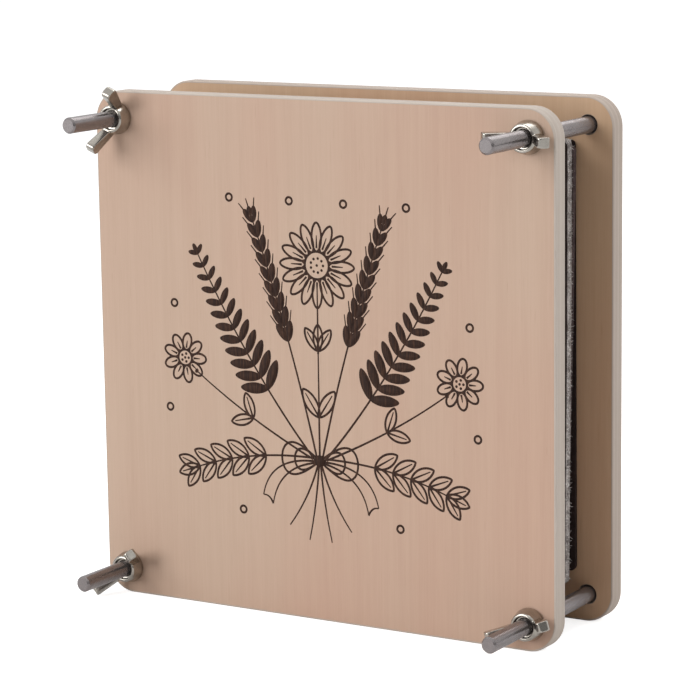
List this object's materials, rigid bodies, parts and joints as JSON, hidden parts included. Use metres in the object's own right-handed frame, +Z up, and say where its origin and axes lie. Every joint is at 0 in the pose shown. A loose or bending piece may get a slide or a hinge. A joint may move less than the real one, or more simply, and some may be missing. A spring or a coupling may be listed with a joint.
{
  "type": "flower press",
  "caption": "Square plywood flower press: two boards drawn together by corner bolts with wing nuts, with corrugated cards and blotting sheets between them.",
  "frame": {"origin": "on the surface that the press stands on, midway across its width and midway from the bolts' tips to their heads", "axes": "+Z up the boards, +Y from the nut side to the bolt heads, so the printed front faces -Y; +X to the right seen from the front"},
  "size_m": [0.163, 0.073, 0.1621],
  "materials": {
    "plywood": "sanded, unvarnished pale plywood",
    "bolt_steel": "plain zinc-plated steel",
    "nut_plating": "bright nickel plating",
    "grey_cardboard": "raw grey corrugated board",
    "blotting_paper": "matt dark absorbent paper"
  },
  "bodies": {
    "base": {"back_board": "plywood", "carriage_bolt_top_left": "bolt_steel", "carriage_bolt_top_right": "bolt_steel", "carriage_bolt_bottom_left": "bolt_steel", "carriage_bolt_bottom_right": "bolt_steel"},
    "front_board": {"front_board": "plywood"},
    "wing_nut_top_left": {"wing_nut_top_left": "nut_plating"},
    "wing_nut_top_right": {"wing_nut_top_right": "nut_plating"},
    "wing_nut_bottom_left": {"wing_nut_bottom_left": "nut_plating"},
    "wing_nut_bottom_right": {"wing_nut_bottom_right": "nut_plating"},
    "blotting_sheet_01": {"blotting_sheet_01": "blotting_paper"},
    "blotting_sheet_02": {"blotting_sheet_02": "blotting_paper"},
    "corrugated_card_01": {"corrugated_card_01": "grey_cardboard"},
    "blotting_sheet_03": {"blotting_sheet_03": "blotting_paper"},
    "blotting_sheet_04": {"blotting_sheet_04": "blotting_paper"},
    "corrugated_card_02": {"corrugated_card_02": "grey_cardboard"},
    "blotting_sheet_05": {"blotting_sheet_05": "blotting_paper"},
    "blotting_sheet_06": {"blotting_sheet_06": "blotting_paper"},
    "corrugated_card_03": {"corrugated_card_03": "grey_cardboard"},
    "blotting_sheet_07": {"blotting_sheet_07": "blotting_paper"},
    "blotting_sheet_08": {"blotting_sheet_08": "blotting_paper"},
    "corrugated_card_04": {"corrugated_card_04": "grey_cardboard"},
    "blotting_sheet_09": {"blotting_sheet_09": "blotting_paper"},
    "blotting_sheet_10": {"blotting_sheet_10": "blotting_paper"}
  },
  "joints": [
    {"name": "front_board_slide", "type": "slide", "parent": "base", "child": "front_board", "axis": [0, -1, 0], "range_m": [-0.0016, 0.0216]},
    {"name": "top_left_nut_turn", "type": "hinge", "parent": "front_board", "child": "wing_nut_top_left", "pos_m": [-0.0715, -0.0105, 0.1515], "axis": [0, -1, 0], "range_deg": [-720, 9720]},
    {"name": "top_right_nut_turn", "type": "hinge", "parent": "front_board", "child": "wing_nut_top_right", "pos_m": [0.0715, -0.0105, 0.1515], "axis": [0, -1, 0], "range_deg": [-720, 9720]},
    {"name": "bottom_left_nut_turn", "type": "hinge", "parent": "front_board", "child": "wing_nut_bottom_left", "pos_m": [-0.0715, -0.0105, 0.0085], "axis": [0, -1, 0], "range_deg": [-720, 9720]},
    {"name": "bottom_right_nut_turn", "type": "hinge", "parent": "front_board", "child": "wing_nut_bottom_right", "pos_m": [0.0715, -0.0105, 0.0085], "axis": [0, -1, 0], "range_deg": [-720, 9720]},
    {"name": "blotting_sheet_01_slide", "type": "slide", "parent": "base", "child": "blotting_sheet_01", "axis": [0, -1, 0], "range_m": [-0.00011, 0.00144]},
    {"name": "blotting_sheet_02_slide", "type": "slide", "parent": "base", "child": "blotting_sheet_02", "axis": [0, -1, 0], "range_m": [-0.00021, 0.00288]},
    {"name": "corrugated_card_01_slide", "type": "slide", "parent": "base", "child": "corrugated_card_01", "axis": [0, -1, 0], "range_m": [-0.00032, 0.00432]},
    {"name": "blotting_sheet_03_slide", "type": "slide", "parent": "base", "child": "blotting_sheet_03", "axis": [0, -1, 0], "range_m": [-0.00043, 0.00576]},
    {"name": "blotting_sheet_04_slide", "type": "slide", "parent": "base", "child": "blotting_sheet_04", "axis": [0, -1, 0], "range_m": [-0.00053, 0.0072]},
    {"name": "corrugated_card_02_slide", "type": "slide", "parent": "base", "child": "corrugated_card_02", "axis": [0, -1, 0], "range_m": [-0.00064, 0.00864]},
    {"name": "blotting_sheet_05_slide", "type": "slide", "parent": "base", "child": "blotting_sheet_05", "axis": [0, -1, 0], "range_m": [-0.00075, 0.01008]},
    {"name": "blotting_sheet_06_slide", "type": "slide", "parent": "base", "child": "blotting_sheet_06", "axis": [0, -1, 0], "range_m": [-0.00085, 0.01152]},
    {"name": "corrugated_card_03_slide", "type": "slide", "parent": "base", "child": "corrugated_card_03", "axis": [0, -1, 0], "range_m": [-0.00096, 0.01296]},
    {"name": "blotting_sheet_07_slide", "type": "slide", "parent": "base", "child": "blotting_sheet_07", "axis": [0, -1, 0], "range_m": [-0.00107, 0.0144]},
    {"name": "blotting_sheet_08_slide", "type": "slide", "parent": "base", "child": "blotting_sheet_08", "axis": [0, -1, 0], "range_m": [-0.00117, 0.01584]},
    {"name": "corrugated_card_04_slide", "type": "slide", "parent": "base", "child": "corrugated_card_04", "axis": [0, -1, 0], "range_m": [-0.00128, 0.01728]},
    {"name": "blotting_sheet_09_slide", "type": "slide", "parent": "base", "child": "blotting_sheet_09", "axis": [0, -1, 0], "range_m": [-0.00139, 0.01872]},
    {"name": "blotting_sheet_10_slide", "type": "slide", "parent": "base", "child": "blotting_sheet_10", "axis": [0, -1, 0], "range_m": [-0.00149, 0.02016]}
  ],
  "couplings": [
    {"joint": "top_left_nut_turn", "follows": "front_board_slide", "rad_per_m": 7854},
    {"joint": "top_right_nut_turn", "follows": "front_board_slide", "rad_per_m": 7854},
    {"joint": "bottom_left_nut_turn", "follows": "front_board_slide", "rad_per_m": 7854},
    {"joint": "bottom_right_nut_turn", "follows": "front_board_slide", "rad_per_m": 7854},
    {"joint": "blotting_sheet_01_slide", "follows": "front_board_slide", "ratio": 0.066666},
    {"joint": "blotting_sheet_02_slide", "follows": "front_board_slide", "ratio": 0.13333},
    {"joint": "corrugated_card_01_slide", "follows": "front_board_slide", "ratio": 0.2},
    {"joint": "blotting_sheet_03_slide", "follows": "front_board_slide", "ratio": 0.26667},
    {"joint": "blotting_sheet_04_slide", "follows": "front_board_slide", "ratio": 0.33333},
    {"joint": "corrugated_card_02_slide", "follows": "front_board_slide", "ratio": 0.4},
    {"joint": "blotting_sheet_05_slide", "follows": "front_board_slide", "ratio": 0.46667},
    {"joint": "blotting_sheet_06_slide", "follows": "front_board_slide", "ratio": 0.53333},
    {"joint": "corrugated_card_03_slide", "follows": "front_board_slide", "ratio": 0.6},
    {"joint": "blotting_sheet_07_slide", "follows": "front_board_slide", "ratio": 0.66667},
    {"joint": "blotting_sheet_08_slide", "follows": "front_board_slide", "ratio": 0.73333},
    {"joint": "corrugated_card_04_slide", "follows": "front_board_slide", "ratio": 0.8},
    {"joint": "blotting_sheet_09_slide", "follows": "front_board_slide", "ratio": 0.86667},
    {"joint": "blotting_sheet_10_slide", "follows": "front_board_slide", "ratio": 0.93333}
  ]
}
